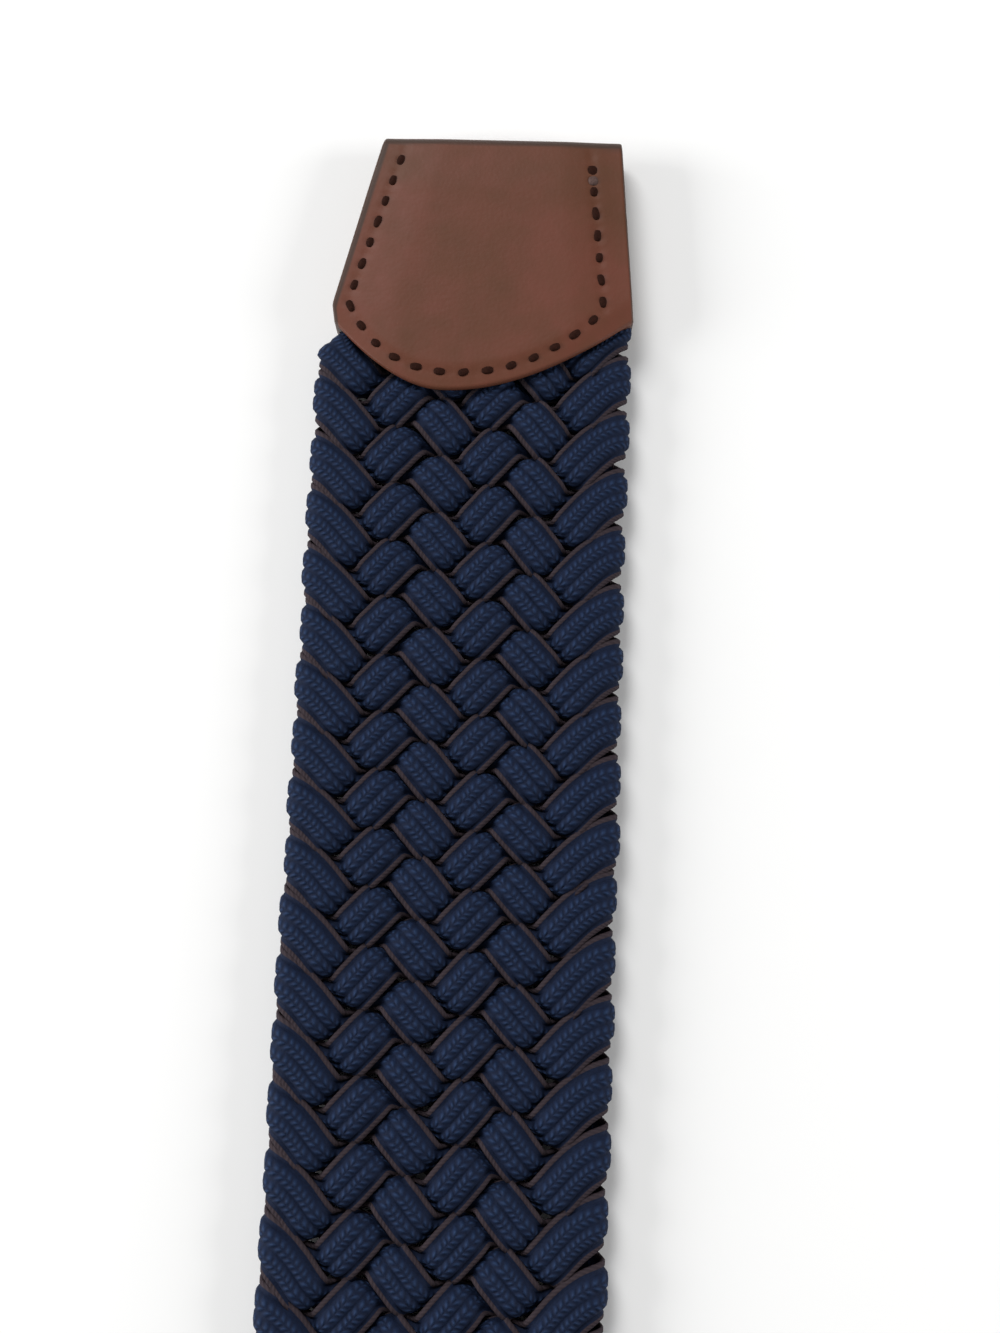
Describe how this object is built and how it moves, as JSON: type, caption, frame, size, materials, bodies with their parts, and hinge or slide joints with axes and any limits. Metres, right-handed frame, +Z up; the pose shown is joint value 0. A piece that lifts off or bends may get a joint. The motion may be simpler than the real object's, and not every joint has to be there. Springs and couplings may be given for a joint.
{
  "type": "braided belt",
  "caption": "Flat braided elastic belt with a stitched leather tip at one end and a leather chape, keeper loop and frame buckle at the other.",
  "frame": {"origin": "middle of the belt's underside, on the surface that it lies on", "axes": "+Y along the belt towards the leather tip, +Z up from the surface, +X across the belt"},
  "size_m": [0.046, 1.05, 0.0136],
  "materials": {
    "braided_cord": "matt ribbed textile strand",
    "brown_leather": "smooth satin",
    "buckle_metal": "satin"
  },
  "bodies": {
    "root": {"braid": "braided_cord", "tip_leather": "brown_leather", "chape_leather": "brown_leather", "keeper_loop": "brown_leather", "buckle": "buckle_metal"}
  },
  "joints": []
}
